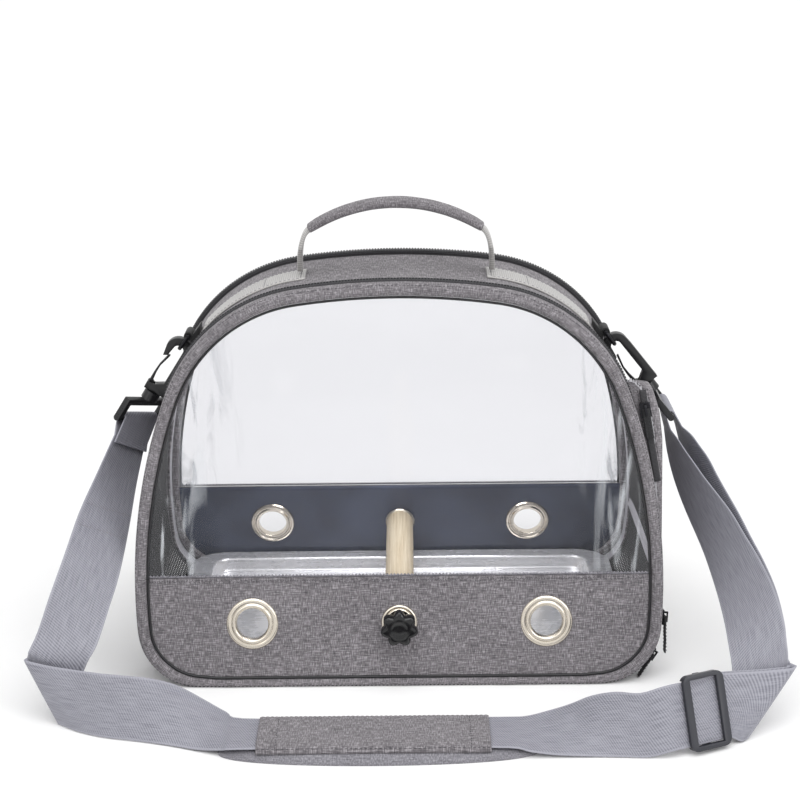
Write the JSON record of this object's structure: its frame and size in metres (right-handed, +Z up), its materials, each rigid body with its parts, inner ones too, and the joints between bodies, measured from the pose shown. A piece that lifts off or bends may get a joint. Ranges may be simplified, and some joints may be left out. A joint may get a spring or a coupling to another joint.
{
  "type": "bird travel carrier",
  "caption": "Arched soft-sided travel carrier for a small bird, with clear windows, wooden perch, steel tray, carrying handle and clip-on shoulder strap.",
  "frame": {"origin": "middle of the underside", "axes": "+X to the right as seen from the front, +Y to the back, +Z up"},
  "size_m": [0.4892, 0.3209, 0.3099],
  "materials": {
    "oxford": "heathered woven grey",
    "board": "matte",
    "net": "open net",
    "zipper": "woven tape with moulded teeth",
    "lining": "coated, semi gloss",
    "piping": "black cord piping",
    "clear_sheet": "clear flexible sheet",
    "steel": "polished",
    "wood": "pale, sanded",
    "black_plastic": "gloss",
    "slider_metal": "black enamel",
    "pull_fabric": "black webbing",
    "light_webbing": "woven webbing",
    "webbing": "woven webbing",
    "pad_fabric": "padded fabric",
    "grey_plastic": "satin"
  },
  "bodies": {
    "bag": {"base_panel": "oxford", "base_board": "board", "left_side_panel": "oxford", "right_side_panel": "oxford", "left_side_mesh": "net", "right_side_mesh": "net", "top_gusset": "oxford", "side_pocket": "oxford", "pocket_zipper": "zipper", "front_zipper": "zipper", "back_zipper": "zipper", "front_lower_panel": "oxford", "back_lower_panel": "oxford", "lower_linings": "lining", "front_lower_rim": "oxford", "back_lower_rim": "oxford", "front_lower_piping": "piping", "back_lower_piping": "piping", "front_grommets": "steel", "back_grommets": "steel", "perch_eyelets": "steel", "perch": "wood", "perch_inserts": "steel", "handle_anchors": "light_webbing", "ring_tabs": "pull_fabric", "d_rings": "slider_metal", "left_hook": "black_plastic", "right_hook": "black_plastic", "left_swivel_eye": "black_plastic", "right_swivel_eye": "black_plastic", "shoulder_strap": "webbing"},
    "front_flap": {"front_window": "clear_sheet", "front_window_rim": "oxford", "front_window_piping": "piping"},
    "back_flap": {"back_window": "clear_sheet", "back_window_rim": "oxford", "back_window_piping": "piping"},
    "front_knob": {"front_knob": "black_plastic", "front_knob_stud": "steel"},
    "back_knob": {"back_knob": "black_plastic", "back_knob_stud": "steel"},
    "tray": {"tray": "steel"},
    "front_upper_slider": {"front_upper_slider": "slider_metal"},
    "front_upper_pull": {"front_upper_pull": "pull_fabric"},
    "front_lower_slider": {"front_lower_slider": "slider_metal"},
    "front_lower_pull": {"front_lower_pull": "pull_fabric"},
    "back_upper_slider": {"back_upper_slider": "slider_metal"},
    "back_upper_pull": {"back_upper_pull": "pull_fabric"},
    "back_lower_slider": {"back_lower_slider": "slider_metal"},
    "back_lower_pull": {"back_lower_pull": "pull_fabric"},
    "pocket_slider": {"pocket_slider": "slider_metal"},
    "pocket_pull": {"pocket_pull": "pull_fabric"},
    "handle": {"handle_webbing": "light_webbing", "handle_grip": "oxford"},
    "left_gate": {"left_hook_gate": "black_plastic"},
    "right_gate": {"right_hook_gate": "black_plastic"},
    "adjuster": {"strap_adjuster": "grey_plastic", "strap_end": "webbing"},
    "pad": {"shoulder_pad": "oxford", "pad_backing": "pad_fabric"}
  },
  "joints": [
    {"name": "front_flap_hinge", "type": "hinge", "parent": "bag", "child": "front_flap", "pos_m": [0, -0.09303, 0.07215], "axis": [1, 0, 0], "range_deg": [0, 100]},
    {"name": "back_flap_hinge", "type": "hinge", "parent": "bag", "child": "back_flap", "pos_m": [0, 0.09303, 0.07215], "axis": [-1, 0, 0], "range_deg": [0, 100]},
    {"name": "front_upper_slider_run", "type": "hinge", "parent": "bag", "child": "front_upper_slider", "pos_m": [-0.19829, -0.08234, 0.06356], "axis": [0, -0.9826, 0.1857], "range_deg": [0, 14]},
    {"name": "front_upper_pull_swing", "type": "hinge", "parent": "front_upper_slider", "child": "front_upper_pull", "pos_m": [0.17729, -0.08677, 0.04011], "axis": [0, -0.9826, 0.1857], "range_deg": [-2, 150]},
    {"name": "front_lower_slider_run", "type": "hinge", "parent": "bag", "child": "front_lower_slider", "pos_m": [0.13401, -0.08709, 0.03842], "axis": [0, -0.9826, 0.1857], "range_deg": [-12, 0]},
    {"name": "front_lower_pull_swing", "type": "hinge", "parent": "front_lower_slider", "child": "front_lower_pull", "pos_m": [0.16929, -0.09158, 0.01465], "axis": [0, -0.9826, 0.1857], "range_deg": [0, 112]},
    {"name": "back_upper_slider_run", "type": "hinge", "parent": "bag", "child": "back_upper_slider", "pos_m": [-0.19829, 0.08234, 0.06356], "axis": [0, -0.9826, -0.1857], "range_deg": [0, 14]},
    {"name": "back_upper_pull_swing", "type": "hinge", "parent": "back_upper_slider", "child": "back_upper_pull", "pos_m": [0.17729, 0.08677, 0.04011], "axis": [0, -0.9826, -0.1857], "range_deg": [-2, 150]},
    {"name": "back_lower_slider_run", "type": "hinge", "parent": "bag", "child": "back_lower_slider", "pos_m": [0.13401, 0.08709, 0.03842], "axis": [0, -0.9826, -0.1857], "range_deg": [-12, 0]},
    {"name": "back_lower_pull_swing", "type": "hinge", "parent": "back_lower_slider", "child": "back_lower_pull", "pos_m": [0.16929, 0.09158, 0.01465], "axis": [0, -0.9826, -0.1857], "range_deg": [0, 112]},
    {"name": "pocket_slider_run", "type": "slide", "parent": "bag", "child": "pocket_slider", "axis": [0.165, -0.1831, -0.9691], "range_m": [0, 0.034]},
    {"name": "pocket_pull_swing", "type": "hinge", "parent": "pocket_slider", "child": "pocket_pull", "pos_m": [0.164, -0.05949, 0.17613], "axis": [-0.9863, -0.0306, -0.1622], "range_deg": [0, 150]},
    {"name": "front_knob_turn", "type": "hinge", "parent": "bag", "child": "front_knob", "pos_m": [0, -0.105, 0.0416], "axis": [0, -1, 0], "continuous": true},
    {"name": "back_knob_turn", "type": "hinge", "parent": "bag", "child": "back_knob", "pos_m": [0, 0.105, 0.0416], "axis": [0, 1, 0], "continuous": true},
    {"name": "tray_lift", "type": "slide", "parent": "bag", "child": "tray", "axis": [0, 0, 1], "range_m": [0, 0.007]},
    {"name": "handle_swing", "type": "hinge", "parent": "bag", "child": "handle", "pos_m": [0, 0, 0.2634], "axis": [1, 0, 0], "range_deg": [-60, 60]},
    {"name": "left_gate_spring", "type": "hinge", "parent": "bag", "child": "left_gate", "pos_m": [-0.17061, 0, 0.18144], "axis": [0, 1, 0], "range_deg": [0, 12], "stiffness_Nm_per_rad": 0.02, "springref_deg": -20.05},
    {"name": "right_gate_spring", "type": "hinge", "parent": "bag", "child": "right_gate", "pos_m": [0.1658, 0, 0.178], "axis": [0, 1, 0], "range_deg": [0, 12], "stiffness_Nm_per_rad": 0.02, "springref_deg": -20.05},
    {"name": "adjuster_slide", "type": "slide", "parent": "bag", "child": "adjuster", "axis": [0.9135, 0.4067, 0], "range_m": [-0.003, 0.002]},
    {"name": "pad_slide", "type": "slide", "parent": "bag", "child": "pad", "axis": [1, 0, 0], "range_m": [-0.004, 0.002]}
  ]
}
